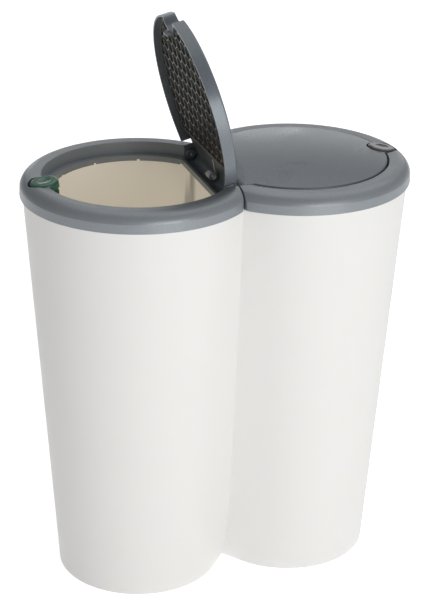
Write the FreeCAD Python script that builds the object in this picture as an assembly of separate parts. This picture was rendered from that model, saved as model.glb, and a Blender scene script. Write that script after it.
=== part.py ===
"""Double recycling bin: one twin-chamber body, and on each chamber a push-fit rim that carries
a sprung hinged lid and a push button. Millimetres, +Z up, origin on the floor between the chambers.

The pieces of one half are built in the half's own frame: x points from the middle of the object
outwards, z is measured from the rim's lower edge. Both halves use the same mouldings, so the left
one is the right one turned half a turn about Z. The left lid stands open, the right one is shut.
"""
import FreeCAD, Part
import math
import os

# Body
SEAT_HEIGHT = 499.0       # floor to the rim's lower edge
FOOT_RADIUS = 102.2       # outside of each chamber at the floor
BODY_WALL = 2.2
FLOOR_THICKNESS = 3.0
BODY_ABOVE_SEAT = 9.0     # how far the body's edge reaches up inside the rim
GROOVE_FOOT = 36.0        # half width of the dividing wall at the floor
GROOVE_POWER = 0.6        # how quickly the dividing wall widens with height
GROOVE_MARGIN = 1.004     # the groove stays just outside the cones
BODY_SECTIONS = (0.0, 0.03, 0.08, 0.16, 0.3, 0.5, 0.7, 0.85, 1.0)   # shares of its height
FOOT_RING = 12.0          # width of the ring that stands on the floor
FOOT_RECESS = 1.5
RIM_TO_BODY = 0.9         # gap between the body's edge and the rim's skirt

# Rim
RIM_RADIUS = 140.0
RIM_CUT = 40.0            # how far inside each rim's circle the middle of the object lies
RIM_WALL = 2.0
RIM_DRAFT = 0.5           # the skirt leans in by this much up to its shoulder
SKIRT_HEIGHT = 11.0
CROWN_HEIGHT = 23.2
CROWN_TOP_INSET = 15.0    # from the rim's outside to the top of its crown
CROWN_BULGE = 0.60        # share of the crown's fall that is left half way out
RIM_WIDTH = 26.5          # from the rim's outside to the wall round the lid
POCKET_DRAFT = 0.4
POCKET_EDGE = 1.2
LEDGE_HEIGHT = 8.0
LEDGE_WIDTH = 11.0
LIP_HEIGHT = 1.5
RIM_HALF_GAP = 1.1        # middle of the object to each rim's flat side
RIM_CORNER = 8.0
RIB_ANGLES = (35.0, 65.0, 95.0, 125.0)
RIB_INSET = 14.0
RIM_ON_BODY = 0.2         # gap that lets the rim sit down on the body's edge
LIP_NOTCH = 4.0
LIP_NOTCH_FIRST = 14.0
LIP_NOTCH_STEP = 31.0
LIP_NOTCHES = 5           # on each side of the half's middle line

# Hinge
HINGE_X = 11.0
HINGE_HEIGHT = 14.0
BARREL_RADIUS = 9.8
TROUGH_GAP = 0.5
TROUGH_WALL = 2.0
TROUGH_HALF = 77.3        # half length of the trough
PIN_RADIUS = 2.0
PIN_LENGTH = 18.0
PIN_RUNNING_GAP = 0.05
BOSS_LENGTH = 9.0
KNUCKLE_RADIUS = 5.5
KNUCKLE_LENGTH = 9.0
OPEN_ANGLE = 76.0

# Lid
LID_GAP = 1.8             # lid to the pocket's edge
LID_WALL = 2.2
LID_EDGE_HEIGHT = 24.3
LID_RISE = 6.0
LID_ROUND = 2.5
LID_OVER_LEDGE = 1.0
EAR_GAP = 0.8             # lid's ends to the trough's ends
EAR_REACH = 24.0
CORNER_RELIEF = 26.0      # middle of the object to the end of the skirt's relief beside each ear
BARREL_LEAN = 15.0       # slope of the lid's back from its barrel up to the dome, in degrees

# Inner panel of the lid
PANEL_GAP = 0.4
PANEL_PLATE = 1.2
PANEL_RIB_DEPTH = 4.0
PANEL_RIB = 1.6
PANEL_BORDER = 3.0
PANEL_START = 38.0        # middle of the object to the panel's straight edge
PANEL_UNDER_LID = 0.3
CELL_PITCH = 17.0

# Button, its pocket and the catch
BUTTON_RADIUS = 17.2
BUTTON_INSET = 26.0       # from the rim's outside to the button's axis
BUTTON_TOP = 25.2
BUTTON_TILT = 9.0
BUTTON_SHELL = 2.4
BUTTON_ROUND = 3.8
DISH_RADIUS = 9.0
DISH_DEPTH = 1.0
BUTTON_GAP = 1.8
BUTTON_TRAVEL = 3.0
BUTTON_STOP_GAP = 2.0     # room left under the head when it is pressed
STEM_RADIUS = 4.0
STEM_GAP = 0.08
STEM_BELOW_BOSS = 3.6
GUIDE_WALL = 2.2
GUIDE_DEPTH = 10.0
CLIP_THICKNESS = 0.8
CLIP_WIDTH = 3.2
CLIP_GAP = 0.2
CATCH_HALF = 7.0
CATCH_GAP = 0.4
CATCH_DEPTH = 3.2
CATCH_NOSE = 1.2
FINGER_HALF = 4.0
FINGER_THICKNESS = 3.8
FINGER_DEPTH = 4.5        # how far the finger reaches below the ledge

# Springs
LID_SPRING_RADIUS = 4.4
LID_SPRING_WIRE = 1.6
LID_SPRING_PITCH = 2.2
LID_SPRING_TURNS = 5.5
LID_SPRING_END = 15.0     # lid's middle line to the coil's outer end
LID_SPRING_ARM = 22.0
LID_SPRING_TAIL = 3.0
BUTTON_SPRING_RADIUS = 6.4
BUTTON_SPRING_WIRE = 1.0
BUTTON_SPRING_TURNS = 5.0

FAR = 400.0               # longer than any piece, for cutting blocks

# Derived sizes
AXIS_X = RIM_RADIUS - RIM_CUT   # middle of the object to each chamber's axis
POCKET_RADIUS = RIM_RADIUS - RIM_WIDTH
OPENING_RADIUS = POCKET_RADIUS - LEDGE_WIDTH
FLAT_X = RIM_HALF_GAP
BUTTON_AXIS = RIM_RADIUS - BUTTON_INSET   # chamber's axis to the button's axis
BUTTON_X = AXIS_X + BUTTON_AXIS
BUTTON_WELL = BUTTON_RADIUS + BUTTON_GAP
TROUGH_RADIUS = BARREL_RADIUS + TROUGH_GAP
LID_RADIUS = POCKET_RADIUS - LID_GAP
LID_BASE = LEDGE_HEIGHT + LID_OVER_LEDGE
EAR_HALF = TROUGH_HALF - EAR_GAP
BODY_TOP = SEAT_HEIGHT + BODY_ABOVE_SEAT
BODY_TOP_RADIUS = RIM_RADIUS - RIM_WALL - RIM_TO_BODY
WELL_INNER_X = BUTTON_X - BUTTON_WELL
BUTTON_DROP = BUTTON_RADIUS * math.sin(math.radians(BUTTON_TILT))   # of its low side
BUTTON_FOOT = LEDGE_HEIGHT + BUTTON_TRAVEL + BUTTON_STOP_GAP + BUTTON_DROP


def vec(x, y, z):
    return FreeCAD.Vector(x, y, z)


def line(a, b):
    return Part.LineSegment(a, b).toShape()


def arc(a, middle, b):
    return Part.Arc(a, middle, b).toShape()


def box(x0, x1, y0, y1, z0, z1):
    return Part.makeBox(x1 - x0, y1 - y0, z1 - z0, vec(x0, y0, z0))


def cylinder(x, radius, z0, z1):
    return Part.makeCylinder(radius, z1 - z0, vec(x, 0, z0))


def cross_cylinder(radius, y0, y1):
    """A cylinder along the hinge axis."""
    return Part.makeCylinder(radius, y1 - y0, vec(HINGE_X, y0, HINGE_HEIGHT), vec(0, 1, 0))


def polar(x, radius, degrees, z):
    turn = math.radians(degrees)
    return vec(x + radius * math.cos(turn), radius * math.sin(turn), z)


def turned(edges, x):
    """A solid of revolution about the upright line through x."""
    face = Part.Face(Part.Wire(Part.__sortEdges__(edges)))
    return face.revolve(vec(x, 0, 0), vec(0, 0, 1), 360)


def prism(edges, y0, y1):
    """An outline in the XZ plane, carried along Y."""
    face = Part.Face(Part.Wire(edges))
    solid = face.extrude(vec(0, y1 - y0, 0))
    solid.translate(vec(0, y0, 0))
    return solid


def polygon(points):
    return [line(a, b) for a, b in zip(points, points[1:] + points[:1])]


def joined(first, *others):
    return first.fuse(list(others)).removeSplitter()


# ---------------------------------------------------------------- body

def body_radius(height):
    """The cone's outer radius at a height above the floor."""
    return FOOT_RADIUS + (BODY_TOP_RADIUS - FOOT_RADIUS) * height / BODY_TOP


def groove_half(height):
    """Half width of the dividing wall: the depth at which the two cones' sides meet."""
    top = math.sqrt((GROOVE_MARGIN * BODY_TOP_RADIUS) ** 2 - AXIS_X ** 2)
    share = (height / BODY_TOP) ** GROOVE_POWER
    half = math.sqrt(GROOVE_FOOT ** 2 + (top ** 2 - GROOVE_FOOT ** 2) * share)
    least = math.sqrt(max((GROOVE_MARGIN * body_radius(height)) ** 2 - AXIS_X ** 2, 0))
    return max(half, least)


def tangent_angle(height):
    """Direction, seen from the chamber's axis, in which the cone turns into the groove's side."""
    corner = math.hypot(AXIS_X, groove_half(height))
    to_corner = 180 - math.degrees(math.atan2(groove_half(height), AXIS_X))
    return to_corner - math.degrees(math.acos(body_radius(height) / corner))


def body_outline(height):
    """The figure of eight at one height: two arcs, and two straight sides to each groove."""
    radius = body_radius(height)
    turn = tangent_angle(height)
    back = vec(0, groove_half(height), height)
    front = vec(0, -groove_half(height), height)
    right_back = polar(AXIS_X, radius, turn, height)
    right_front = polar(AXIS_X, radius, -turn, height)
    left_back = polar(-AXIS_X, radius, 180 - turn, height)
    left_front = polar(-AXIS_X, radius, 180 + turn, height)
    return Part.Wire([
        line(back, right_back),
        arc(right_back, polar(AXIS_X, radius, 0, height), right_front),
        line(right_front, front),
        line(front, left_front),
        arc(left_front, polar(-AXIS_X, radius, 180, height), left_back),
        line(left_back, back)])


def chamber_outline(height):
    """The inside of the right chamber at one height, a wall's thickness inside the body."""
    radius = body_radius(height) - BODY_WALL
    turn = tangent_angle(height)
    normal_x = math.cos(math.radians(turn))
    normal_y = math.sin(math.radians(turn))
    wall_x = BODY_WALL / 2
    half = (radius - normal_x * (wall_x - AXIS_X)) / normal_y
    back = vec(wall_x, half, height)
    front = vec(wall_x, -half, height)
    tangent_back = polar(AXIS_X, radius, turn, height)
    tangent_front = polar(AXIS_X, radius, -turn, height)
    return Part.Wire([
        line(back, tangent_back),
        arc(tangent_back, polar(AXIS_X, radius, 0, height), tangent_front),
        line(tangent_front, front),
        line(front, back)])


def make_body():
    outer = Part.makeLoft([body_outline(share * BODY_TOP) for share in BODY_SECTIONS], True, True)
    first = FLOOR_THICKNESS / BODY_TOP
    shares = (first,) + BODY_SECTIONS[1:]
    chamber = Part.makeLoft([chamber_outline(share * BODY_TOP) for share in shares], True, True)
    other = chamber.mirror(vec(0, 0, 0), vec(1, 0, 0))
    slot_half = FLAT_X + RIM_WALL + RIM_TO_BODY
    slot_floor = SEAT_HEIGHT - RIM_ON_BODY
    slot = box(-slot_half, slot_half, -FAR, FAR, slot_floor, SEAT_HEIGHT + FAR)
    body = outer.cut([chamber, other, slot])
    for side in (1, -1):
        recess = cylinder(side * AXIS_X, FOOT_RADIUS - FOOT_RING, 0, FOOT_RECESS)
        body = body.cut(recess)
    return body


# ---------------------------------------------------------------- rim

def crown_middle(outer, base, top_r, top_z):
    """The point half way along the crown's arc from its shoulder to its top."""
    middle_r = (outer + top_r) / 2
    middle_z = top_z - (top_z - base) * (1 - CROWN_BULGE) / 2
    return vec(middle_r, 0, middle_z)


def rim_skin(inset, close_to):
    """The rim's outside from the skirt up over the crown and down the pocket wall to the opening."""
    outer = AXIS_X + RIM_RADIUS - inset
    shoulder = vec(outer - RIM_DRAFT, 0, SKIRT_HEIGHT - inset / 4)
    crown = vec(AXIS_X + RIM_RADIUS - CROWN_TOP_INSET, 0, CROWN_HEIGHT - inset)
    pocket = AXIS_X + POCKET_RADIUS + inset
    pocket_top = vec(pocket + POCKET_EDGE, 0, CROWN_HEIGHT - inset - POCKET_EDGE / 4)
    pocket_side = vec(pocket, 0, CROWN_HEIGHT - inset - POCKET_EDGE)
    corner = math.sqrt(0.5)
    pocket_turn = vec(pocket + POCKET_EDGE * (1 - corner), 0,
                      CROWN_HEIGHT - inset - POCKET_EDGE + POCKET_EDGE * 0.75 * corner)
    pocket_foot = vec(pocket - POCKET_DRAFT, 0, LEDGE_HEIGHT - inset)
    opening = vec(AXIS_X + OPENING_RADIUS + inset, 0, LEDGE_HEIGHT - inset)
    lip = vec(AXIS_X + OPENING_RADIUS + inset, 0, close_to)
    skirt = vec(outer, 0, 0)
    middle = crown_middle(shoulder.x, shoulder.z, crown.x, crown.z)
    edges = [
        line(skirt, shoulder),
        arc(shoulder, middle, crown),
        line(crown, pocket_top),
        arc(pocket_top, pocket_turn, pocket_side),
        line(pocket_side, pocket_foot),
        line(pocket_foot, opening),
        line(opening, lip)]
    return edges, skirt, lip


def rim_ring():
    """The thin ring all the way round the chamber's axis."""
    outside, skirt, lip = rim_skin(0, LIP_HEIGHT)
    inside, inner_skirt, inner_lip = rim_skin(RIM_WALL, LIP_HEIGHT)
    return turned(outside + [line(lip, inner_lip)] + inside + [line(inner_skirt, skirt)], AXIS_X)


def rim_block():
    """The ring filled in, from the pocket's wall outwards."""
    outside, skirt, lip = rim_skin(0, LIP_HEIGHT)
    base = vec(outside[4].Vertexes[1].Point.x, 0, 0)
    foot = outside[4].Vertexes[1].Point
    return turned(outside[:5] + [line(foot, base), line(base, skirt)], AXIS_X)


def rim_plan(inset):
    """The rim seen from above, an upright block with a flat side and two rounded corners."""
    flat = FLAT_X + inset
    radius = RIM_RADIUS - inset
    corner = RIM_CORNER - inset
    centre_x = flat + corner
    centre_y = math.sqrt((radius - corner) ** 2 - (AXIS_X - centre_x) ** 2)
    turn = math.degrees(math.atan2(centre_y, centre_x - AXIS_X))
    half_turn = (180 + turn) / 2
    edges = []
    edges.append(arc(polar(AXIS_X, radius, turn, 0), vec(AXIS_X + radius, 0, 0),
                     polar(AXIS_X, radius, -turn, 0)))
    for side in (-1, 1):
        middle = vec(centre_x + corner * math.cos(math.radians(half_turn)),
                     side * (centre_y + corner * math.sin(math.radians(half_turn))), 0)
        edges.append(arc(polar(AXIS_X, radius, side * turn, 0), middle,
                         vec(flat, side * centre_y, 0)))
    edges.append(line(vec(flat, -centre_y, 0), vec(flat, centre_y, 0)))
    wire = Part.Wire(Part.__sortEdges__(edges))
    return Part.Face(wire).extrude(vec(0, 0, FAR))


def trough_space():
    """The room that the lid's barrel and ears need."""
    lip_x = HINGE_X + TROUGH_RADIUS + TROUGH_WALL / 2
    above = box(-FAR, lip_x, -TROUGH_HALF, TROUGH_HALF, LEDGE_HEIGHT, FAR)
    return joined(above, cross_cylinder(TROUGH_RADIUS, -TROUGH_HALF, TROUGH_HALF))


def trough_walls():
    """The trough under the lid's barrel, with the flat side and the opening's straight lip."""
    shell_radius = TROUGH_RADIUS + TROUGH_WALL
    lip_x = HINGE_X + TROUGH_RADIUS + TROUGH_WALL / 2
    reach = TROUGH_HALF + TROUGH_WALL
    limits = box(FLAT_X, lip_x, -reach, reach, 0, LEDGE_HEIGHT)
    shell = cross_cylinder(shell_radius, -reach, reach).common(limits)
    lip = box(lip_x - TROUGH_WALL, lip_x, -reach, reach, LIP_HEIGHT, LEDGE_HEIGHT)
    side = box(FLAT_X, FLAT_X + RIM_WALL, -reach, reach, 0, LEDGE_HEIGHT)
    return [shell, lip, side]


def make_rim():
    plan = rim_plan(0)
    block = rim_block().common(plan)
    lip_x = HINGE_X + TROUGH_RADIUS + TROUGH_WALL / 2
    middle = box(-FAR, lip_x, -TROUGH_HALF, TROUGH_HALF, -1, FAR)
    ring = rim_ring().common(plan)
    flat_side = block.cut(rim_plan(RIM_WALL)).common(box(0, HINGE_X * 2, -FAR, FAR, 0, FAR))
    parts = [flat_side]
    for side in (1, -1):
        near = side * TROUGH_HALF
        far = side * (TROUGH_HALF + BOSS_LENGTH)
        wall = side * (TROUGH_HALF + RIM_WALL)
        end = box(FLAT_X, lip_x, min(near, wall), max(near, wall), LIP_HEIGHT, FAR)
        boss = box(HINGE_X - KNUCKLE_RADIUS, HINGE_X + KNUCKLE_RADIUS, min(near, far),
                   max(near, far), HINGE_HEIGHT - KNUCKLE_RADIUS, FAR)
        cap = rim_cap(plan)
        parts.append(end.common(cap).cut(cylinder(AXIS_X, POCKET_RADIUS, LEDGE_HEIGHT, FAR)))
        parts.append(boss.common(cap))
    for angle in RIB_ANGLES:
        for side in (1, -1):
            parts.append(rim_rib(side * angle, block))
    ring = joined(ring.cut(middle), *parts)
    ring = ring.cut(trough_space())
    ring = joined(ring, *trough_walls())
    ring = ring.cut(cross_cylinder(TROUGH_RADIUS, -TROUGH_HALF, TROUGH_HALF))
    ring = add_button_well(ring, block)
    for index in range(LIP_NOTCHES):
        for side in (1, -1):
            ring = ring.cut(lip_notch(side * (LIP_NOTCH_FIRST + index * LIP_NOTCH_STEP)))
    bore_end = TROUGH_HALF + BOSS_LENGTH + RIM_WALL
    return ring.cut(cross_cylinder(PIN_RADIUS, -bore_end, bore_end))


def rim_cap(plan):
    """Everything under the crown's height, used to trim what stands inside the rim."""
    outside, skirt, lip = rim_skin(0, LIP_HEIGHT)
    top = vec(AXIS_X, 0, CROWN_HEIGHT)
    crown = outside[1].Vertexes[1].Point
    axis_foot = vec(AXIS_X, 0, 0)
    edges = outside[:2] + [line(crown, top), line(top, axis_foot), line(axis_foot, skirt)]
    return turned(edges, AXIS_X).common(plan)


def rim_rib(angle, block):
    """A rib under the crown that sits on the body's edge."""
    inner = AXIS_X + RIM_RADIUS - RIB_INSET
    rib = box(inner, AXIS_X + RIM_RADIUS - RIM_DRAFT, -RIM_WALL / 2, RIM_WALL / 2,
              BODY_ABOVE_SEAT + RIM_ON_BODY, FAR)
    rib.rotate(vec(AXIS_X, 0, 0), vec(0, 0, 1), angle)
    return rib.common(block)


def lip_notch(angle):
    outer = AXIS_X + OPENING_RADIUS + RIM_WALL
    notch = box(outer - 2 * RIM_WALL, outer + RIM_WALL / 2, -LIP_NOTCH / 2, LIP_NOTCH / 2,
                0, LIP_HEIGHT + LIP_NOTCH / 2)
    notch.rotate(vec(AXIS_X, 0, 0), vec(0, 0, 1), angle)
    return notch


def add_button_well(ring, block):
    """The round well for the button, its floor with the catch's edge, and the stem's guide."""
    floor_z = LEDGE_HEIGHT - RIM_WALL
    shell = cylinder(BUTTON_X, BUTTON_WELL + RIM_WALL, floor_z, FAR).common(block)
    floor = cylinder(BUTTON_X, BUTTON_WELL + RIM_WALL, floor_z, LEDGE_HEIGHT)
    floor = floor.cut(box(-FAR, WELL_INNER_X + CATCH_NOSE, -FAR, FAR, 0, FAR))
    inside_body = BODY_TOP_RADIUS - BODY_WALL - RIM_TO_BODY
    shell = shell.common(cylinder(AXIS_X, inside_body, 0, FAR))
    floor = floor.common(cylinder(AXIS_X, inside_body, 0, FAR))
    guide = cylinder(BUTTON_X, STEM_RADIUS + STEM_GAP + GUIDE_WALL,
                     LEDGE_HEIGHT - GUIDE_DEPTH, LEDGE_HEIGHT)
    ring = joined(ring, shell, floor, guide)
    slot_end = WELL_INNER_X + CATCH_NOSE + FINGER_THICKNESS + CATCH_GAP
    slot_half = FINGER_HALF + CATCH_GAP
    return ring.cut([
        cylinder(BUTTON_X, BUTTON_WELL, LEDGE_HEIGHT, FAR),
        cylinder(BUTTON_X, STEM_RADIUS + STEM_GAP, -FAR, FAR),
        box(WELL_INNER_X, slot_end, -slot_half, slot_half, 0, LEDGE_HEIGHT)])


# ---------------------------------------------------------------- lid

def dome_drop(radius, reach):
    """How far the dome falls from its top at a radius, on one big circle."""
    big = (reach ** 2 + LID_RISE ** 2) / (2 * LID_RISE)
    return big - math.sqrt(big ** 2 - radius ** 2)


def dome_block(radius, edge_round, inset, base):
    """The lid's round body under its dome, out to a radius, with a rounded edge."""
    flat_radius = LID_RADIUS - LID_ROUND
    top = LID_EDGE_HEIGHT + LID_RISE - inset
    arc_radius = radius - edge_round
    edge_z = top - dome_drop(arc_radius, flat_radius)
    middle_z = top - dome_drop(arc_radius / 2, flat_radius)
    axis_top = vec(AXIS_X, 0, top)
    dome_edge = vec(AXIS_X + arc_radius, 0, edge_z)
    side_top = vec(AXIS_X + radius, 0, edge_z - edge_round)
    corner = math.sqrt(0.5) * edge_round
    turn = vec(AXIS_X + arc_radius + corner, 0, edge_z - edge_round + corner)
    side_foot = vec(AXIS_X + radius, 0, base)
    axis_foot = vec(AXIS_X, 0, base)
    return turned([
        arc(axis_top, vec(AXIS_X + arc_radius / 2, 0, middle_z), dome_edge),
        arc(dome_edge, turn, side_top),
        line(side_top, side_foot),
        line(side_foot, axis_foot),
        line(axis_foot, axis_top)], AXIS_X)


def barrel_prism(radius, base, half):
    """Side view of the lid: a barrel about the hinge axis, then a slope up past the dome."""
    start = math.degrees(math.pi + math.asin((HINGE_HEIGHT - base) / radius))
    finish = 90 + BARREL_LEAN

    def on_barrel(degrees):
        turn = math.radians(degrees)
        return vec(HINGE_X + radius * math.cos(turn), 0, HINGE_HEIGHT + radius * math.sin(turn))

    low = on_barrel(start)
    high = on_barrel(finish)
    run = EAR_REACH * 2
    crest = vec(high.x + run, 0, high.z + run * math.tan(math.radians(BARREL_LEAN)))
    far_top = vec(FAR, 0, crest.z)
    far_base = vec(FAR, 0, base)
    edges = [
        arc(low, on_barrel((start + finish) / 2), high),
        line(high, crest),
        line(crest, far_top),
        line(far_top, far_base),
        line(far_base, low)]
    return prism(edges, -half, half)


def lid_block(inset, base):
    """The lid filled in; with an inset, the space inside its wall."""
    edge_round = max(LID_ROUND - inset, LID_ROUND / 4)
    plate = dome_block(LID_RADIUS - inset, edge_round, inset, base)
    corner_radius = math.hypot(AXIS_X, EAR_HALF)
    ears = dome_block(corner_radius, LID_ROUND / 4, inset, base)
    ear_half = EAR_HALF - inset
    ears = ears.common(box(0, EAR_REACH, -ear_half, ear_half, base, FAR))
    whole = plate.fuse(ears)
    return whole.common(barrel_prism(BARREL_RADIUS - inset, base, FAR / 2))


def make_lid():
    outside = lid_block(0, LID_BASE)
    lid = outside.cut(lid_block(LID_WALL, LID_BASE - LID_OVER_LEDGE))
    plug = cylinder(BUTTON_X, BUTTON_WELL + LID_WALL, LID_BASE, FAR).common(outside)
    lid = lid.fuse(plug)
    well = cylinder(BUTTON_X, BUTTON_WELL, LID_BASE - FAR, FAR)
    # the skirt stops short beside the ears, where it would sweep the rim as the lid opens
    relief_top = CROWN_HEIGHT - LID_GAP
    back_relief = box(0, CORNER_RELIEF, EAR_HALF, FAR, -FAR, relief_top)
    front_relief = box(0, CORNER_RELIEF, -FAR, -EAR_HALF, -FAR, relief_top)
    lid = lid.cut([well, back_relief, front_relief])
    parts = [catch_tongue()]
    for side in (1, -1):
        far = side * EAR_HALF
        near = side * (EAR_HALF - KNUCKLE_LENGTH)
        low, high = min(near, far), max(near, far)
        knuckle = cross_cylinder(KNUCKLE_RADIUS, low, high)
        web = box(HINGE_X - LID_WALL / 2, HINGE_X + LID_WALL / 2, low, high,
                  HINGE_HEIGHT, LID_EDGE_HEIGHT + LID_RISE)
        parts.append(knuckle)
        parts.append(web.common(outside))
    lid = joined(lid, *parts)
    return lid.cut(cross_cylinder(PIN_RADIUS + PIN_RUNNING_GAP, -FAR, FAR))


def catch_tongue():
    """The springy tongue behind the lid's notch, with its nose towards the rim's catch edge."""
    back = WELL_INNER_X - LID_WALL
    low = LEDGE_HEIGHT - RIM_WALL - CATCH_GAP - CATCH_DEPTH
    nose_top = LEDGE_HEIGHT - RIM_WALL - CATCH_GAP
    front = WELL_INNER_X - LID_WALL / 4
    tip = WELL_INNER_X + CATCH_NOSE - CATCH_GAP
    outline = [
        vec(back, 0, LID_BASE + LID_WALL),
        vec(back, 0, low),
        vec(front, 0, low),
        vec(tip, 0, nose_top - CATCH_GAP),
        vec(tip, 0, nose_top),
        vec(front, 0, nose_top),
        vec(front, 0, LID_BASE + LID_WALL)]
    return prism(polygon(outline), -CATCH_HALF, CATCH_HALF)


def panel_plan(border, z0, z1):
    """The inner panel seen from above: round, straight at the hinge, notched for the button."""
    radius = LID_RADIUS - LID_WALL - PANEL_GAP - border
    plate = cylinder(AXIS_X, radius, z0, z1)
    plate = plate.cut(box(-FAR, PANEL_START + border, -FAR, FAR, z0 - 1, z1 + 1))
    notch = cylinder(BUTTON_X, BUTTON_WELL + LID_WALL + PANEL_GAP + border, z0 - 1, z1 + 1)
    return plate.cut(notch)


def hexagon(x, y, z, across):
    corner = across / math.sqrt(3)
    points = []
    for index in range(6):
        turn = math.radians(60 * index)
        points.append(vec(x + corner * math.cos(turn), y + corner * math.sin(turn), z))
    return Part.Face(Part.Wire(polygon(points)))


def make_panel():
    """A thin plate under the lid with honeycomb ribs on its lower side."""
    edge_z = LID_EDGE_HEIGHT - LID_WALL - PANEL_UNDER_LID
    plate_z = edge_z - PANEL_PLATE
    low = plate_z - PANEL_RIB_DEPTH
    panel = panel_plan(0, low, edge_z)
    field = panel_plan(PANEL_BORDER, low - 1, plate_z)
    across = CELL_PITCH - PANEL_RIB
    column = CELL_PITCH * math.sqrt(3) / 2
    reach = LID_RADIUS + CELL_PITCH
    cells = []
    for i in range(-int(reach / column), int(reach / column) + 1):
        for j in range(-int(reach / CELL_PITCH) - 1, int(reach / CELL_PITCH) + 2):
            x = AXIS_X + i * column
            y = (j + 0.5 * (i % 2)) * CELL_PITCH
            if math.hypot(x - AXIS_X, y) < LID_RADIUS + across / 2:
                cells.append(hexagon(x, y, low - 1, across).extrude(vec(0, 0, plate_z - low + 1)))
    pockets = Part.makeCompound(cells).common(field)
    return panel.cut(pockets)


# ---------------------------------------------------------------- hinge pins and springs

def make_pins():
    inner = TROUGH_HALF + BOSS_LENGTH - PIN_LENGTH
    outer = TROUGH_HALF + BOSS_LENGTH
    return Part.makeCompound([
        cross_cylinder(PIN_RADIUS, inner, outer),
        cross_cylinder(PIN_RADIUS, -outer, -inner)])


def biarc(start, start_way, end, end_way):
    """Two arcs that leave start along start_way and reach end along end_way."""
    chord = end - start
    ways = start_way + end_way
    spread = 2 * (1 - start_way.dot(end_way))
    along = chord.dot(ways)
    reach = (-along + math.sqrt(along ** 2 + spread * chord.dot(chord))) / spread
    first = start + start_way * reach
    last = end - end_way * reach
    joint = (first + last) * 0.5
    return [tangent_arc(start, first, joint), tangent_arc(joint, last, end)]


def tangent_arc(start, corner, end):
    """The arc from start to end whose end tangents meet at the corner."""
    middle = (start + end) * 0.5
    half = (end - start).Length / 2
    slope = math.atan2((corner - middle).Length, half)
    towards = (corner - middle).normalize()
    return arc(start, middle + towards * (half * math.tan(slope / 2)), end)


def coil_edges(radius, length, turns, first_angle, place):
    """Quarter turns of a coil as arcs; place turns (angle, distance along) into a point."""
    steps = int(round(turns * 4))
    rise = length / steps
    edges = []
    for index in range(steps):
        ends = []
        for number in (index, index + 1):
            angle = first_angle - math.radians(90 * number)
            ahead = 1e-4
            point = place(radius, angle, rise * number)
            later = place(radius, angle - ahead, rise * (number + ahead / math.radians(90)))
            ends.append((point, (later - point).normalize()))
        edges += biarc(ends[0][0], ends[0][1], ends[1][0], ends[1][1])
    return edges


def wire_tube(edges, wire_radius):
    path = Part.Wire(edges)
    start = edges[0].Vertexes[0].Point
    way = edges[0].tangentAt(edges[0].FirstParameter)
    ring = Part.Wire(Part.makeCircle(wire_radius, start, way))
    return path.makePipeShell([ring], True, False)


def least_gap(edges, wire_diameter):
    """The least gap of a coil's wire to itself, from points along its middle line."""
    points = []
    travelled = []
    total = 0.0
    for edge in edges:
        for share in (0.0, 0.25, 0.5, 0.75):
            span = edge.LastParameter - edge.FirstParameter
            points.append(edge.valueAt(edge.FirstParameter + share * span))
            travelled.append(total + share * edge.Length)
        total += edge.Length
    apart = 4 * wire_diameter
    best = FAR
    for i, point in enumerate(points):
        for j in range(i):
            if travelled[i] - travelled[j] > apart:
                best = min(best, (point - points[j]).Length - wire_diameter)
    return best


def make_lid_spring():
    """A torsion spring about the hinge axis, with an arm under the lid and a short tail."""
    length = LID_SPRING_TURNS * LID_SPRING_PITCH
    start_y = LID_SPRING_END - length
    first_angle = math.radians(90 + 360 * LID_SPRING_TURNS)

    def place(radius, angle, along):
        return vec(HINGE_X + radius * math.cos(angle), start_y + along,
                   HINGE_HEIGHT + radius * math.sin(angle))

    edges = coil_edges(LID_SPRING_RADIUS, length, LID_SPRING_TURNS, first_angle, place)
    start = edges[0].Vertexes[0].Point
    start_way = edges[0].tangentAt(edges[0].FirstParameter)
    end = edges[-1].Vertexes[1].Point
    end_way = edges[-1].tangentAt(edges[-1].LastParameter)
    tail = line(start - start_way * LID_SPRING_TAIL, start)
    arm = line(end, end + end_way * LID_SPRING_ARM)
    path = [tail] + edges + [arm]
    print("lid spring: least gap to itself %.2f mm" % least_gap(edges, LID_SPRING_WIRE))
    return wire_tube(path, LID_SPRING_WIRE / 2)


def button_spring_top():
    """Height of the spring's last turn, just under the tilted head."""
    tilt_drop = BUTTON_SPRING_RADIUS * math.sin(math.radians(BUTTON_TILT))
    return BUTTON_TOP - DISH_DEPTH - BUTTON_SHELL - tilt_drop - BUTTON_SPRING_WIRE


def make_button_spring():
    """A compression spring round the stem, between the well's floor and the head."""
    base = LEDGE_HEIGHT + BUTTON_SPRING_WIRE / 2
    length = button_spring_top() - base

    def place(radius, angle, along):
        return vec(BUTTON_X + radius * math.cos(angle), radius * math.sin(angle), base + along)

    edges = coil_edges(BUTTON_SPRING_RADIUS, length, BUTTON_SPRING_TURNS, 0.0, place)
    print("button spring: least gap to itself %.2f mm" % least_gap(edges, BUTTON_SPRING_WIRE))
    return wire_tube(edges, BUTTON_SPRING_WIRE / 2)


# ---------------------------------------------------------------- button and its clip

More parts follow.
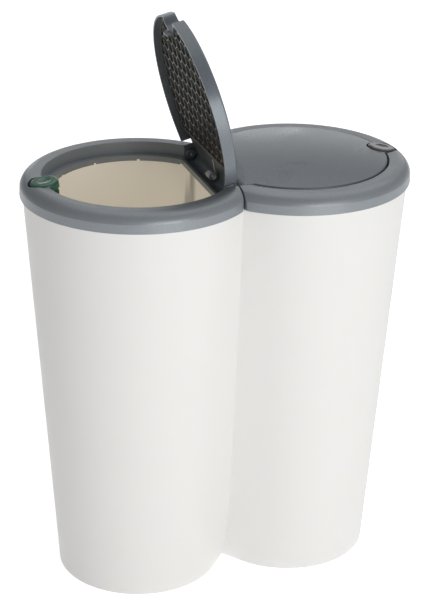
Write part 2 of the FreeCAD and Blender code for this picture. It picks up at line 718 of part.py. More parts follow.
def button_head():
    """A round cap with a shallow dish, leaning with the crown of the rim."""
    top = BUTTON_TOP
    inner = BUTTON_RADIUS - BUTTON_SHELL
    corner = math.sqrt(0.5) * BUTTON_ROUND
    round_x = BUTTON_RADIUS - BUTTON_ROUND
    under = top - DISH_DEPTH - BUTTON_SHELL
    foot = BUTTON_FOOT

    def at(radius, z):
        return vec(BUTTON_X + radius, 0, z)

    edges = [
        arc(at(0, top - DISH_DEPTH), at(DISH_RADIUS / 2, top - DISH_DEPTH * 0.75), at(DISH_RADIUS, top)),
        line(at(DISH_RADIUS, top), at(round_x, top)),
        arc(at(round_x, top), at(round_x + corner, top - BUTTON_ROUND + corner),
            at(BUTTON_RADIUS, top - BUTTON_ROUND)),
        line(at(BUTTON_RADIUS, top - BUTTON_ROUND), at(BUTTON_RADIUS, foot)),
        line(at(BUTTON_RADIUS, foot), at(inner, foot)),
        line(at(inner, foot), at(inner, under)),
        line(at(inner, under), at(0, under)),
        line(at(0, under), at(0, top - DISH_DEPTH))]
    head = turned(edges, BUTTON_X)
    head.rotate(vec(BUTTON_X, 0, top), vec(0, 1, 0), BUTTON_TILT)
    return head


def make_button():
    head = button_head()
    stem_low = LEDGE_HEIGHT - GUIDE_DEPTH - STEM_BELOW_BOSS
    stem = cylinder(BUTTON_X, STEM_RADIUS, stem_low, BUTTON_TOP - DISH_DEPTH - BUTTON_SHELL / 2)
    front = WELL_INNER_X + CATCH_NOSE + CATCH_GAP
    back = front + FINGER_THICKNESS - CATCH_GAP
    head_x = BUTTON_X - BUTTON_RADIUS + BUTTON_SHELL / 2
    low = LEDGE_HEIGHT - FINGER_DEPTH
    neck = BUTTON_FOOT - CATCH_NOSE
    finger = prism(polygon([
        vec(head_x, 0, BUTTON_TOP - BUTTON_ROUND),
        vec(head_x, 0, neck),
        vec(front, 0, neck - CATCH_NOSE),
        vec(front, 0, low + CATCH_NOSE * 2),
        vec(front + CATCH_NOSE, 0, low),
        vec(back, 0, low),
        vec(back, 0, BUTTON_TOP - BUTTON_ROUND)]), -FINGER_HALF, FINGER_HALF)
    return joined(head, stem, finger)


def make_button_clip():
    """The washer pressed on the stem's end, which keeps the button in its guide."""
    top = LEDGE_HEIGHT - GUIDE_DEPTH - CLIP_GAP
    ring = cylinder(BUTTON_X, STEM_RADIUS + CLIP_WIDTH, top - CLIP_THICKNESS, top)
    return ring.cut(cylinder(BUTTON_X, STEM_RADIUS, top - FAR, top + 1))


# ---------------------------------------------------------------- assembly

def opened(shape):
    """A piece of the lid, swung up about the hinge axis."""
    swung = shape.copy()
    swung.rotate(vec(HINGE_X, 0, HINGE_HEIGHT), vec(0, -1, 0), OPEN_ANGLE)
    return swung


def placed(shape, left):
    """A piece of a half, lifted to the rim's height and turned round for the left half."""
    result = shape.copy()
    result.translate(vec(0, 0, SEAT_HEIGHT))
    if left:
        result.rotate(vec(0, 0, 0), vec(0, 0, 1), 180)
    return result


def main():
    os.makedirs("parts", exist_ok=True)
    make_body().exportStep("parts/bin_body.step")
    fixed = {
        "rim": make_rim(),
        "hinge_pins": make_pins(),
        "button": make_button(),
        "button_spring": make_button_spring(),
        "button_clip": make_button_clip()}
    swinging = {
        "lid": make_lid(),
        "lid_panel": make_panel(),
        "lid_spring": make_lid_spring()}
    for name, shape in fixed.items():
        placed(shape, False).exportStep("parts/%s_right.step" % name)
        placed(shape, True).exportStep("parts/%s_left.step" % name)
    for name, shape in swinging.items():
        placed(shape, False).exportStep("parts/%s_right.step" % name)
        placed(opened(shape), True).exportStep("parts/%s_left.step" % name)


main()
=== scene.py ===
"""Looks of a double recycling bin: its finishes, its fine surfaces, the studio and the camera.

Metres, +X from the left chamber to the right one, -Y to the front, +Z up from the floor.
Each half's pieces are the other half's turned half a turn about Z.
"""

import logging
import math
from dataclasses import dataclass
from enum import Enum
from typing import Any

import bmesh
import bpy
import numpy as np
from mathutils import Matrix, Vector


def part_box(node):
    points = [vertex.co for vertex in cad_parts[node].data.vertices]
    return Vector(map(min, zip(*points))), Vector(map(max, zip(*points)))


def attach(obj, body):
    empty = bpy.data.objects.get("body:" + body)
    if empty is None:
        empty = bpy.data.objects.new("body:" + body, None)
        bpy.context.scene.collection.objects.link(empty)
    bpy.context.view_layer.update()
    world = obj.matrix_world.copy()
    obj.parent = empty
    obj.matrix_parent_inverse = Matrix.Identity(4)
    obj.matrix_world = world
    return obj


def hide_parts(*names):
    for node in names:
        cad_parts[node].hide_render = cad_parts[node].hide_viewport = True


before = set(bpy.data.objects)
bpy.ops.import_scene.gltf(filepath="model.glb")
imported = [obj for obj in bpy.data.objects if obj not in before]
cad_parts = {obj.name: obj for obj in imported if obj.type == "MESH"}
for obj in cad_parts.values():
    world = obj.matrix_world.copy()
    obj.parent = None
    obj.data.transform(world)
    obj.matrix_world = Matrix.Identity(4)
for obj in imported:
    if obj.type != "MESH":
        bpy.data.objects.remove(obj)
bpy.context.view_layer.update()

LOG = logging.getLogger("bin")
Colour = tuple[float, float, float]


class Side(Enum):
    """A half of the bin, with the ending of its node names."""

    LEFT = "left"
    RIGHT = "right"


# ---------------------------------------------------------------- node trees


class Wiring:
    """Short calls that add and join the nodes of one tree."""

    def __init__(self, tree: bpy.types.NodeTree) -> None:
        """Keeps the tree that the other calls work on."""
        self.tree = tree

    def node(self, kind: str, inputs: dict[Any, Any] | None = None, **settings: Any) -> bpy.types.Node:
        """Adds a node.

        Args:
            kind: Blender's name of the node's type.
            inputs: A value or an output socket for each input, by its name or number.
            **settings: Properties of the node itself.

        Returns:
            The new node.
        """
        made = self.tree.nodes.new(kind)
        for name, value in settings.items():
            setattr(made, name, value)
        for name, value in (inputs or {}).items():
            if isinstance(value, bpy.types.NodeSocket):
                self.tree.links.new(value, made.inputs[name])
            else:
                made.inputs[name].default_value = value
        return made

    def sum(self, operation: str, first: Any, second: Any = 0.0) -> bpy.types.NodeSocket:
        """Adds a Math node and returns its output socket."""
        return self.node("ShaderNodeMath", {0: first, 1: second}, operation=operation).outputs[0]

    def ramp(self, value: Any, low: float, high: float) -> bpy.types.NodeSocket:
        """Carries a value smoothly to 0 at low and 1 at high and returns the output socket."""
        inputs = {"Value": value, "From Min": low, "From Max": high}
        return self.node("ShaderNodeMapRange", inputs, interpolation_type="SMOOTHSTEP").outputs["Result"]

    def mix(self, share: Any, first: Any, second: Any) -> bpy.types.NodeSocket:
        """Mixes two colours, which are the node's inputs 6 and 7, and returns the output socket."""
        return self.node("ShaderNodeMix", {0: share, 6: first, 7: second}, data_type="RGBA").outputs[2]


def rgba(colour: Colour) -> tuple[float, float, float, float]:
    """A colour with full alpha."""
    return (*colour, 1.0)


class SurfaceGroup:
    """A node group that several finishes share; it is built once and found again by its name."""

    label = ""
    takes: dict[str, tuple[str, Any]] = {}
    gives: dict[str, str] = {}

    @classmethod
    def tree(cls) -> bpy.types.NodeTree:
        """The group's tree, built on the first call."""
        found = bpy.data.node_groups.get(cls.label)
        if found:
            return found
        made = bpy.data.node_groups.new(cls.label, "ShaderNodeTree")
        for name, (kind, value) in cls.takes.items():
            socket = made.interface.new_socket(name=name, in_out="INPUT", socket_type=kind)
            if value is not None:
                socket.default_value = value
        for name, kind in cls.gives.items():
            made.interface.new_socket(name=name, in_out="OUTPUT", socket_type=kind)
        wires = Wiring(made)
        entry = wires.node("NodeGroupInput")
        wires.node("NodeGroupOutput", cls.wire(wires, entry.outputs))
        return made

    @classmethod
    def wire(cls, wires: Wiring, given: Any) -> dict[str, bpy.types.NodeSocket]:
        """Adds the group's own nodes and returns the socket for each of its outputs."""
        raise NotImplementedError

    @classmethod
    def place(cls, wires: Wiring, inputs: dict[str, Any]) -> Any:
        """Puts the group into a material.

        Args:
            wires: The material's wiring.
            inputs: A value or a socket for each of the group's inputs.

        Returns:
            The group node's outputs.
        """
        return wires.node("ShaderNodeGroup", inputs, node_tree=cls.tree()).outputs


class MouldGrain(SurfaceGroup):
    """The fine eroded grain of a mould: small noise over smaller round pits."""

    label = "mould_grain"
    takes = {"Vector": ("NodeSocketVector", None), "Scale": ("NodeSocketFloat", 900.0),
             "Waviness": ("NodeSocketFloat", 0.3)}
    gives = {"Height": "NodeSocketFloat"}
    slow_ratio = 0.02

    @classmethod
    def wire(cls, wires: Wiring, given: Any) -> dict[str, bpy.types.NodeSocket]:
        """Height = noise x (1 - w) + pits x (1 - w) + slow noise x w, with w the waviness."""
        place, scale, slow_share = given["Vector"], given["Scale"], given["Waviness"]
        noise = wires.node("ShaderNodeTexNoise", {"Vector": place, "Scale": scale, "Detail": 3.0})
        pits = wires.node("ShaderNodeTexVoronoi", {"Vector": place, "Scale": scale})
        slow_scale = wires.sum("MULTIPLY", scale, cls.slow_ratio)
        slow = wires.node("ShaderNodeTexNoise", {"Vector": place, "Scale": slow_scale, "Detail": 1.0})
        fine = wires.sum("ADD", noise.outputs["Fac"], pits.outputs["Distance"])
        fine_share = wires.sum("SUBTRACT", 1.0, slow_share)
        fine = wires.sum("MULTIPLY", fine, fine_share)
        wave = wires.sum("MULTIPLY", slow.outputs["Fac"], slow_share)
        return {"Height": wires.sum("ADD", fine, wave)}


class MetalFlakes(SurfaceGroup):
    """Metal flakes in a moulded plastic: each small cell is its own shade between two colours."""

    label = "metal_flakes"
    takes = {"Vector": ("NodeSocketVector", None), "Scale": ("NodeSocketFloat", 1500.0),
             "Base": ("NodeSocketColor", None), "Flake": ("NodeSocketColor", None),
             "Share": ("NodeSocketFloat", 0.5), "Roughness": ("NodeSocketFloat", 0.4)}
    gives = {"Color": "NodeSocketColor", "Roughness": "NodeSocketFloat"}
    rarity = 3.0
    polish = 0.25

    @classmethod
    def wire(cls, wires: Wiring, given: Any) -> dict[str, bpy.types.NodeSocket]:
        """Color = base to flake by (cell's random number)^rarity x share; flakes are smoother."""
        cells = wires.node("ShaderNodeTexVoronoi", {"Vector": given["Vector"], "Scale": given["Scale"]})
        split = wires.node("ShaderNodeSeparateColor", {0: cells.outputs["Color"]})
        bright = wires.sum("POWER", split.outputs[0], cls.rarity)
        share = wires.sum("MULTIPLY", bright, given["Share"])
        smoother = wires.sum("MULTIPLY", share, cls.polish)
        return {"Color": wires.mix(share, given["Base"], given["Flake"]),
                "Roughness": wires.sum("SUBTRACT", given["Roughness"], smoother)}


class Handling(SurfaceGroup):
    """Patches that hands have rubbed smoother, larger than the grain and soft at their edges."""

    label = "handling"
    takes = {"Vector": ("NodeSocketVector", None), "Scale": ("NodeSocketFloat", 14.0),
             "Amount": ("NodeSocketFloat", 0.1)}
    gives = {"Mask": "NodeSocketFloat"}
    patch_range = (0.45, 0.7)

    @classmethod
    def wire(cls, wires: Wiring, given: Any) -> dict[str, bpy.types.NodeSocket]:
        """Mask = the top part of a slow distorted noise, times the amount."""
        noise = wires.node("ShaderNodeTexNoise", {
            "Vector": given["Vector"], "Scale": given["Scale"], "Detail": 4.0, "Distortion": 0.6})
        patch = wires.ramp(noise.outputs["Fac"], *cls.patch_range)
        return {"Mask": wires.sum("MULTIPLY", patch, given["Amount"])}


class SettledDust(SurfaceGroup):
    """Fine dust that lies thinly on faces that look up."""

    label = "settled_dust"
    takes = {"Vector": ("NodeSocketVector", None), "Normal": ("NodeSocketVector", None),
             "Amount": ("NodeSocketFloat", 0.05)}
    gives = {"Mask": "NodeSocketFloat"}
    speck_scale = 260.0
    upward_range = (0.5, 1.0)
    speck_range = (0.4, 0.75)

    @classmethod
    def wire(cls, wires: Wiring, given: Any) -> dict[str, bpy.types.NodeSocket]:
        """Mask = (how far the face looks up) x (fine noise) x amount."""
        split = wires.node("ShaderNodeSeparateXYZ", {0: given["Normal"]})
        upward = wires.ramp(split.outputs["Z"], *cls.upward_range)
        noise = wires.node("ShaderNodeTexNoise", {
            "Vector": given["Vector"], "Scale": cls.speck_scale, "Detail": 5.0})
        speck = wires.ramp(noise.outputs["Fac"], *cls.speck_range)
        mask = wires.sum("MULTIPLY", upward, speck)
        return {"Mask": wires.sum("MULTIPLY", mask, given["Amount"])}


# ---------------------------------------------------------------- finishes


@dataclass(frozen=True)
class Finish:
    """A finish of some pieces; its material is built once and found again by the finish's name."""

    name: str
    colour: Colour

    def material(self) -> bpy.types.Material:
        """The finish as a material, built on the first call."""
        found = bpy.data.materials.get(self.name)
        if found:
            return found
        made = bpy.data.materials.new(self.name)
        made.use_nodes = True
        made.node_tree.nodes.clear()
        wires = Wiring(made.node_tree)
        place = wires.node("ShaderNodeTexCoord").outputs["Object"]
        wires.node("ShaderNodeOutputMaterial", {"Surface": self.shader(wires, place).outputs[0]})
        return made

    def shader(self, wires: Wiring, place: bpy.types.NodeSocket) -> bpy.types.Node:
        """Adds the finish's own nodes and returns its shader.

        Args:
            wires: The material's wiring.
            place: The socket that gives each point's place on the piece.

        Returns:
            The Principled shader node.
        """
        raise NotImplementedError


@dataclass(frozen=True)
class MouldedPlastic(Finish):
    """A moulded plastic: flakes, grain, rubbed patches, dust, and painted light through a thin wall on
    the inner skin.
    """

    flake: Colour
    flake_share: float = 0.0
    flake_scale: float = 1500.0
    roughness: float = 0.45
    metallic: float = 0.0
    grain_scale: float = 900.0
    grain_depth: float = 0.00004
    waviness: float = 0.3
    rubbed: float = 0.08
    dust: float = 0.03
    dust_colour: Colour = (0.62, 0.60, 0.57)
    # The inner skin's colour is painted lighter and warmer, and the glow after it is painted light, both
    # standing in for light through the thin wall.
    inside: Colour | None = None
    painted_through_glow: float = 0.0
    translucent: float = 0.0
    scatter: Colour = (1.0, 0.85, 0.65)
    scatter_depth: float = 0.004

    def shader(self, wires: Wiring, place: bpy.types.NodeSocket) -> bpy.types.Node:
        """Adds the plastic's nodes and returns its shader."""
        normal = wires.node("ShaderNodeNewGeometry").outputs["Normal"]
        flakes = MetalFlakes.place(wires, {
            "Vector": place, "Scale": self.flake_scale, "Base": rgba(self.colour),
            "Flake": rgba(self.flake), "Share": self.flake_share, "Roughness": self.roughness})
        colour = flakes["Color"]
        # Painted light: the inner skin takes the lighter, warmer inside colour that stands in for light
        # through the wall.
        if self.inside:
            inside = wires.node("ShaderNodeAttribute", attribute_name="inside").outputs["Fac"]
            colour = wires.mix(inside, colour, rgba(self.inside))
        dust = SettledDust.place(wires, {"Vector": place, "Normal": normal, "Amount": self.dust})["Mask"]
        colour = wires.mix(dust, colour, rgba(self.dust_colour))
        rubbed = Handling.place(wires, {"Vector": place, "Amount": self.rubbed})["Mask"]
        roughness = wires.sum("SUBTRACT", flakes["Roughness"], rubbed)
        grain = MouldGrain.place(wires, {
            "Vector": place, "Scale": self.grain_scale, "Waviness": self.waviness})["Height"]
        bump = wires.node("ShaderNodeBump", {
            "Height": grain, "Distance": self.grain_depth, "Strength": 1.0}).outputs["Normal"]
        shader = wires.node("ShaderNodeBsdfPrincipled", {
            "Base Color": colour, "Roughness": roughness, "Normal": bump, "Metallic": self.metallic})
        # Painted light: the inner skin glows in the inside colour, in place of light that comes through
        # the wall.
        if self.inside and self.painted_through_glow:
            glow = wires.sum("MULTIPLY", inside, self.painted_through_glow)
            wires.tree.links.new(glow, shader.inputs["Emission Strength"])
            shader.inputs["Emission Color"].default_value = rgba(self.inside)
        if self.translucent:
            shader.inputs["Subsurface Weight"].default_value = self.translucent
            shader.inputs["Subsurface Radius"].default_value = self.scatter
            shader.inputs["Subsurface Scale"].default_value = self.scatter_depth
        return shader


@dataclass(frozen=True)
class DrawnWire(Finish):
    """Drawn spring steel: a very fine grain and patches of light tarnish."""

    roughness: float = 0.28
    tarnish: float = 0.5
    tarnish_scale: float = 180.0
    tarnish_shade: float = 0.45
    grain_scale: float = 4000.0
    grain_depth: float = 0.00001

    def shader(self, wires: Wiring, place: bpy.types.NodeSocket) -> bpy.types.Node:
        """Adds the steel's nodes and returns its shader."""
        tarnish = Handling.place(wires, {
            "Vector": place, "Scale": self.tarnish_scale, "Amount": self.tarnish})["Mask"]
        tarnished = tuple(self.tarnish_shade * part for part in self.colour)
        colour = wires.mix(tarnish, rgba(self.colour), rgba(tarnished))
        roughness = wires.sum("ADD", tarnish, self.roughness)
        grain = MouldGrain.place(wires, {
            "Vector": place, "Scale": self.grain_scale, "Waviness": 0.0})["Height"]
        bump = wires.node("ShaderNodeBump", {
            "Height": grain, "Distance": self.grain_depth}).outputs["Normal"]
        return wires.node("ShaderNodeBsdfPrincipled", {
            "Base Color": colour, "Roughness": roughness, "Normal": bump, "Metallic": 1.0})


# The body's inside colour and its glow are painted light through the thin wall on the inner skin.
BODY_WHITE = MouldedPlastic(
    "body_white", colour=(0.70, 0.695, 0.68), flake=(0.74, 0.735, 0.72), flake_share=0.2, roughness=0.5,
    grain_scale=1400.0, grain_depth=0.00003, inside=(0.86, 0.81, 0.72), painted_through_glow=0.16, dust=0.0,
    translucent=0.12)
RIM_GREY = MouldedPlastic(
    "rim_grey", colour=(0.215, 0.235, 0.252), flake=(0.42, 0.45, 0.48), flake_share=0.25, roughness=0.42,
    metallic=0.25, flake_scale=2600.0)
LID_GREY = MouldedPlastic(
    "lid_grey", colour=(0.130, 0.150, 0.168), flake=(0.30, 0.33, 0.36), flake_share=0.25, roughness=0.36,
    metallic=0.25, flake_scale=2600.0)
PANEL_GREY = MouldedPlastic(
    "panel_grey", colour=(0.085, 0.086, 0.080), flake=(0.16, 0.16, 0.15), flake_share=0.3, roughness=0.5,
    dust=0.0)
BUTTON_GREEN = MouldedPlastic(
    "button_green", colour=(0.012, 0.046, 0.036), flake=(0.03, 0.09, 0.07), flake_share=0.2,
    roughness=0.34, grain_depth=0.00002, dust=0.02)
BUTTON_CHARCOAL = MouldedPlastic(
    "button_charcoal", colour=(0.026, 0.027, 0.029), flake=(0.06, 0.06, 0.065), flake_share=0.2,
    roughness=0.34, grain_depth=0.00002, dust=0.02)
SPRING_STEEL = DrawnWire("spring_steel", colour=(0.42, 0.42, 0.41))


# ---------------------------------------------------------------- meshes

SAME_POINT = 1e-6
NO_LENGTH = 1e-7


def closed_mesh(name: str, points: np.ndarray, quads: np.ndarray, sharp: float) -> bpy.types.Object:
    """Makes a closed smooth-shaded piece from points and four-cornered faces.

    Args:
        name: The piece's name.
        points: All points, one row each.
        quads: Four point numbers for each face; corners that coincide are merged.
        sharp: Edges that turn by more than this many degrees stay crisp.

    Returns:
        The piece, at the origin, with its faces outwards.
    """
    mesh = bpy.data.meshes.new(name)
    mesh.from_pydata(points.tolist(), [], quads.tolist())
    work = bmesh.new()
    work.from_mesh(mesh)
    bmesh.ops.remove_doubles(work, verts=work.verts, dist=SAME_POINT)
    bmesh.ops.dissolve_degenerate(work, edges=work.edges, dist=NO_LENGTH)
    bmesh.ops.recalc_face_normals(work, faces=work.faces)
    work.to_mesh(mesh)
    work.free()
    mesh.shade_smooth()
    mesh.set_sharp_from_angle(angle=math.radians(sharp))
    piece = bpy.data.objects.new(name, mesh)
    bpy.context.scene.collection.objects.link(piece)
    return piece


def mesh_points(mesh: bpy.types.Mesh) -> np.ndarray:
    """A mesh's points, one row each."""
    flat = np.empty(len(mesh.vertices) * 3)
    mesh.vertices.foreach_get("co", flat)
    return flat.reshape(-1, 3)


def ring_faces(first: int, second: int, skip: np.ndarray, count: int) -> np.ndarray:
    """The faces between two closed rings of points, but for the columns in skip."""
    here = np.arange(count)[~skip]
    following = (here + 1) % count
    return np.stack([first + here, first + following, second + following, second + here], axis=1)


@dataclass
class TwinBody:
    """The one moulding of both chambers: two cones that meet in a sharp groove, hollow and open."""

    axis_x: float = 0.100
    foot_radius: float = 0.1022
    wall: float = 0.0022
    floor: float = 0.003
    groove_foot: float = 0.036
    groove_power: float = 0.6
    groove_margin: float = 1.004
    foot_round: float = 0.0016
    foot_ring: float = 0.012
    foot_recess: float = 0.0015
    floor_round: float = 0.006
    slot_half: float = 0.004
    slot_depth: float = 0.0092
    slot_blend: float = 0.0008
    edge_zone: float = 0.018
    crisp_angle: float = 24.0
    arc_columns: int = 128
    side_columns: int = 14
    divider_columns: int = 12
    side_rows: int = 34
    row_crowding: float = 1.25
    foot_rows: int = 5
    floor_rows: int = 6
    recess_shares: tuple[float, ...] = (0.0, 0.5)
    floor_shares: tuple[float, ...] = (0.8, 0.4, 0.0)

    def __post_init__(self) -> None:
        """Reads the height and the top radius from the frame."""
        self.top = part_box("bin_body")[1].z
        self.top_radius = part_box("bin_body")[1].x - self.axis_x

    def radius(self, height: np.ndarray) -> np.ndarray:
        """The cone's radius, in a straight line from foot to top."""
        return self.foot_radius + (self.top_radius - self.foot_radius) * height / self.top

    def groove_half(self, height: np.ndarray) -> np.ndarray:
        """Half width of the wall between the chambers.

        Its square grows from the foot's to the top's with a power of the height, but it always
        stays just outside the two cones.
        """
        top_square = (self.groove_margin * self.top_radius) ** 2 - self.axis_x ** 2
        share = (np.maximum(height, 0) / self.top) ** self.groove_power
        square = self.groove_foot ** 2 + (top_square - self.groove_foot ** 2) * share
        least = np.maximum((self.groove_margin * self.radius(height)) ** 2 - self.axis_x ** 2, 0)
        return np.sqrt(np.maximum(square, least))

    def ring(self, height: np.ndarray, inset: float, wall_x: float) -> np.ndarray:
        """One closed outline of the right half, as seen from above.

        From the groove a straight side runs as a tangent on to the cone's circle, round it, and
        back along the other tangent; the last columns run along the wall between the chambers.

        Args:
            height: The height of each column.
            inset: How far inside the body's outside the outline lies.
            wall_x: X of the wall between the chambers.

        Returns:
            One row of X, Y and Z for each column.
        """
        outer = self.radius(height)
        groove = self.groove_half(height)
        turn = math.pi - np.arctan2(groove, self.axis_x) - np.arccos(
            outer / np.hypot(self.axis_x, groove))
        radius = outer - inset
        half = (radius - np.cos(turn) * (wall_x - self.axis_x)) / np.sin(turn)
        side = np.arange(self.side_columns) / self.side_columns
        around = np.linspace(1, -1, self.arc_columns)
        across = np.linspace(-1, 1, self.divider_columns + 2)[:-1]
        blend = np.concatenate([side, np.ones(self.arc_columns), side[::-1][:-1], np.zeros(len(across))])
        angle_share = np.concatenate([
            np.ones(len(side)), around, -np.ones(len(side) - 1), np.zeros(len(across))])
        sign = np.concatenate([
            np.ones(len(side)), np.sign(around), -np.ones(len(side) - 1), across])
        angle = turn * angle_share
        tangent_x = self.axis_x + radius * np.cos(angle)
        tangent_y = radius * np.sin(angle)
        x = wall_x + (tangent_x - wall_x) * blend
        y = half * sign + (tangent_y - half * sign) * blend
        return np.stack([x, y, height], axis=1)

    @property
    def count(self) -> int:
        """How many columns a ring has."""
        return 2 * self.side_columns - 1 + self.arc_columns + self.divider_columns + 1

    def edge_heights(self, height: float) -> np.ndarray:
        """Heights of the columns of a ring near the top, lower where the rims' flat sides come down."""
        level = np.full(self.count, height)
        start = self.top - self.edge_zone
        if height <= start:
            return level
        past_slot = np.abs(self.ring(level, 0, 0)[:, 0]) - self.slot_half
        reach = np.clip(past_slot / self.slot_blend, 0, 1)
        drop = self.slot_depth * (1 - reach * reach * (3 - 2 * reach))
        return start + (level - start) * (1 - drop / self.edge_zone)

    def half(self) -> tuple[np.ndarray, np.ndarray]:
        """The right half's points and faces, from the foot's middle over the top to the floor inside."""
        flat = np.zeros(self.count)
        rings, outside = [], []

        def add(ring: np.ndarray, is_outside: bool = False) -> None:
            """Keeps a ring, and whether the strip that follows it is the outer skin."""
            rings.append(ring)
            outside.append(is_outside)

        def shrunk(ring: np.ndarray, radius: float, z: float) -> np.ndarray:
            """A ring drawn on to a circle about the chamber's axis."""
            away = ring[:, :2] - [self.axis_x, 0]
            away = away / np.hypot(away[:, 0], away[:, 1])[:, None] * radius
            return np.column_stack([away + [self.axis_x, 0], np.full(self.count, z)])

        foot = self.ring(flat, self.foot_round, 0)
        recess = self.foot_radius - self.foot_ring
        for share in self.recess_shares:
            add(shrunk(foot, recess * share, self.foot_recess))
        add(shrunk(foot, recess, self.foot_recess))
        add(shrunk(foot, recess, 0.0))
        for turn in np.linspace(0, math.pi / 2, self.foot_rows):
            rise = self.foot_round * (1 - math.cos(turn))
            add(self.ring(flat + rise, self.foot_round * (1 - math.sin(turn)), 0), True)
        low = self.foot_round / self.top
        for share in low + (1 - low) * np.linspace(0, 1, self.side_rows)[1:] ** self.row_crowding:
            add(self.ring(self.edge_heights(share * self.top), 0, 0), True)
        # The strip after the last outer ring is the edge's flat top, which the divider has too.
        outside[-1] = False
        inner_x = self.wall / 2
        add(self.ring(self.edge_heights(self.top), self.wall, inner_x))
        start = self.floor + self.floor_round
        for share in np.linspace(1, start / self.top, self.side_rows // 2)[1:]:
            add(self.ring(self.edge_heights(share * self.top), self.wall, inner_x))
        for turn in np.linspace(0, math.pi / 2, self.floor_rows)[1:]:
            height = flat + start - self.floor_round * math.sin(turn)
            grown = self.floor_round * (1 - math.cos(turn))
            add(self.ring(height, self.wall + grown, inner_x + grown))
        last = rings[-1]
        middle = np.array([self.axis_x, 0, self.floor])
        for share in self.floor_shares:
            add(middle + (last - middle) * share)
        last_side = 2 * self.side_columns - 1 + self.arc_columns - 1
        divider = np.arange(self.count) > last_side
        nothing = np.zeros(self.count, bool)
        faces = [ring_faces(i * self.count, (i + 1) * self.count, divider if outside[i] else nothing,
                            self.count) for i in range(len(rings) - 1)]
        return np.concatenate(rings), np.concatenate(faces)

    def build(self) -> bpy.types.Object:
        """Makes the piece, marks its inner skin and sets it in the body's place."""
        points, faces = self.half()
        turned = points * [-1, -1, 1]
        piece = closed_mesh("twin_body", np.concatenate([points, turned]),
                            np.concatenate([faces, faces + len(points)]), self.crisp_angle)
        self.mark_inside(piece.data)
        piece.data.materials.append(BODY_WHITE.material())
        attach(piece, "bin")
        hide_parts("bin_body")
        return piece

    def mark_inside(self, mesh: bpy.types.Mesh) -> None:
        """Stores 1 on points nearer to a chamber's axis than mid-wall and not under its floor, else 0."""
        points = mesh_points(mesh)
        away = np.hypot(np.abs(points[:, 0]) - self.axis_x, points[:, 1])
        just_under_floor = self.floor * 0.9
        inside = (away < self.radius(points[:, 2]) - self.wall / 2) & (points[:, 2] > just_under_floor)
        # The body's finish paints light through the wall on the points marked here.
        layer = mesh.attributes.new("inside", "FLOAT", "POINT")
        layer.data.foreach_set("value", inside.astype(np.float32))


@dataclass
class HalfTrim:
    """The moulded and sprung pieces of one half, which keep the frame's own shapes."""

    side: Side

    def finishes(self) -> dict[str, Finish]:
        """The finish of each of this half's nodes."""
        button = BUTTON_GREEN if self.side is Side.LEFT else BUTTON_CHARCOAL
        steel = ("hinge_pins", "lid_spring", "button_spring", "button_clip")
        chosen = {"rim": RIM_GREY, "lid": LID_GREY, "lid_panel": PANEL_GREY, "button": button}
        chosen.update({name: SPRING_STEEL for name in steel})
        return {f"{name}_{self.side.value}": finish for name, finish in chosen.items()}

    def dress(self) -> list[str]:
        """Gives each node its finish and returns the nodes' names."""
        for name, finish in self.finishes().items():
            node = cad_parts[name]
            node.data.materials.clear()
            node.data.materials.append(finish.material())
        return list(self.finishes())


# ---------------------------------------------------------------- studio and camera


@dataclass(frozen=True)
class Softbox:
    """A soft rectangular light that faces the bin."""

    name: str
    place: tuple[float, float, float]
    width: float
    height: float
    power: float

    def build(self, target: Vector) -> None:
        """Hangs the light and turns it to the target."""
        light = bpy.data.lights.new(self.name, "AREA")
        light.shape = "RECTANGLE"
        light.size, light.size_y = self.width, self.height
        light.energy = self.power
        lamp = bpy.data.objects.new(self.name, light)
        bpy.context.scene.collection.objects.link(lamp)
        lamp.location = self.place
        lamp.rotation_euler = (target - Vector(self.place)).to_track_quat("-Z", "Y").to_euler()


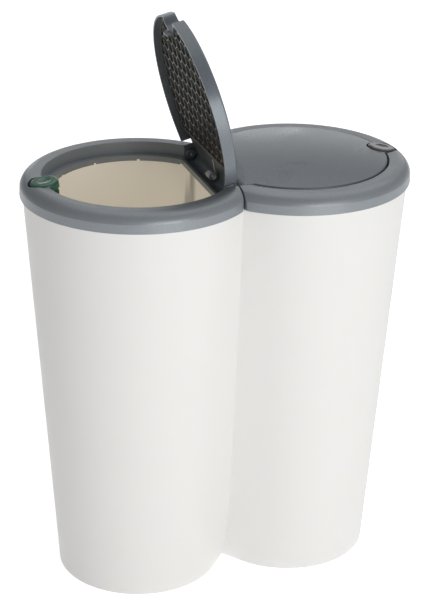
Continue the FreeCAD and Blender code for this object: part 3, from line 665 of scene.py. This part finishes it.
@dataclass(frozen=True)
class Studio:
    """A white room: a wide pale floor, an even sky and large soft lights."""

    floor_half: float = 9.0
    floor_glow: float = 0.60
    floor_white: Colour = (0.93, 0.93, 0.93)
    floor_roughness: float = 0.9
    sky: float = 0.22
    lights_aim: tuple[float, float, float] = (0.0, 0.0, 0.35)
    lights: tuple[Softbox, ...] = (
        Softbox("overhead_softbox", (1.0, 1.3, 4.1), 5.0, 5.0, 85.0),
        Softbox("backdrop_softbox", (1.4, 4.1, 1.15), 4.0, 1.1, 19.0),
        Softbox("front_softbox", (0.5, -2.8, 0.9), 1.8, 1.6, 40.0))

    def build(self) -> None:
        """Makes the floor, the sky and the lights."""
        mesh = bpy.data.meshes.new("studio_floor")
        half = self.floor_half
        mesh.from_pydata([(-half, -half, 0), (half, -half, 0), (half, half, 0), (-half, half, 0)], [],
                         [(0, 1, 2, 3)])
        floor = bpy.data.objects.new("studio_floor", mesh)
        bpy.context.scene.collection.objects.link(floor)
        paint = bpy.data.materials.new("studio_white")
        paint.use_nodes = True
        shader = paint.node_tree.nodes["Principled BSDF"]
        shader.inputs["Base Color"].default_value = rgba(self.floor_white)
        shader.inputs["Roughness"].default_value = self.floor_roughness
        shader.inputs["Emission Color"].default_value = (1, 1, 1, 1)
        shader.inputs["Emission Strength"].default_value = self.floor_glow
        mesh.materials.append(paint)
        world = bpy.data.worlds.new("studio_sky")
        world.use_nodes = True
        background = world.node_tree.nodes["Background"]
        background.inputs["Color"].default_value = (1, 1, 1, 1)
        background.inputs["Strength"].default_value = self.sky
        bpy.context.scene.world = world
        bpy.context.scene.view_settings.view_transform = "Standard"
        for light in self.lights:
            light.build(Vector(self.lights_aim))


@dataclass(frozen=True)
class PhotoCamera:
    """The camera where the photograph was taken from."""

    azimuth: float = -19.1
    elevation: float = 23.91
    roll: float = 0.85
    distance: float = 2.28313
    target: tuple[float, float, float] = (-0.00011, 0.0, 0.34416)
    lens: float = 110.6
    sensor: float = 36.0

    def build(self) -> None:
        """Makes the camera, looking at its target, with its right side turned up by the roll."""
        turn, rise, roll = (math.radians(a) for a in (self.azimuth, self.elevation, self.roll))
        back = Vector((math.sin(turn) * math.cos(rise), -math.cos(turn) * math.cos(rise), math.sin(rise)))
        right = Vector((math.cos(turn), math.sin(turn), 0))
        up = back.cross(right)
        tilted_right = right * math.cos(roll) + up * math.sin(roll)
        tilted_up = up * math.cos(roll) - right * math.sin(roll)
        data = bpy.data.cameras.new("photo_camera")
        data.lens = self.lens
        data.sensor_width = self.sensor
        camera = bpy.data.objects.new("photo_camera", data)
        bpy.context.scene.collection.objects.link(camera)
        axes = Matrix((tilted_right, tilted_up, back)).transposed().to_4x4()
        camera.matrix_world = Matrix.Translation(Vector(self.target) + back * self.distance) @ axes
        bpy.context.scene.camera = camera


def main() -> None:
    """Builds the camera, the studio and each sub-assembly, and reports what was made."""
    logging.basicConfig(level=logging.INFO, format="%(name)s: %(message)s")
    PhotoCamera().build()
    Studio().build()
    body = TwinBody().build()
    LOG.info("%s: %d faces", body.name, len(body.data.polygons))
    for side in Side:
        for name in HalfTrim(side).dress():
            LOG.info("%s: dressed", name)


if __name__ == "__main__":
    main()
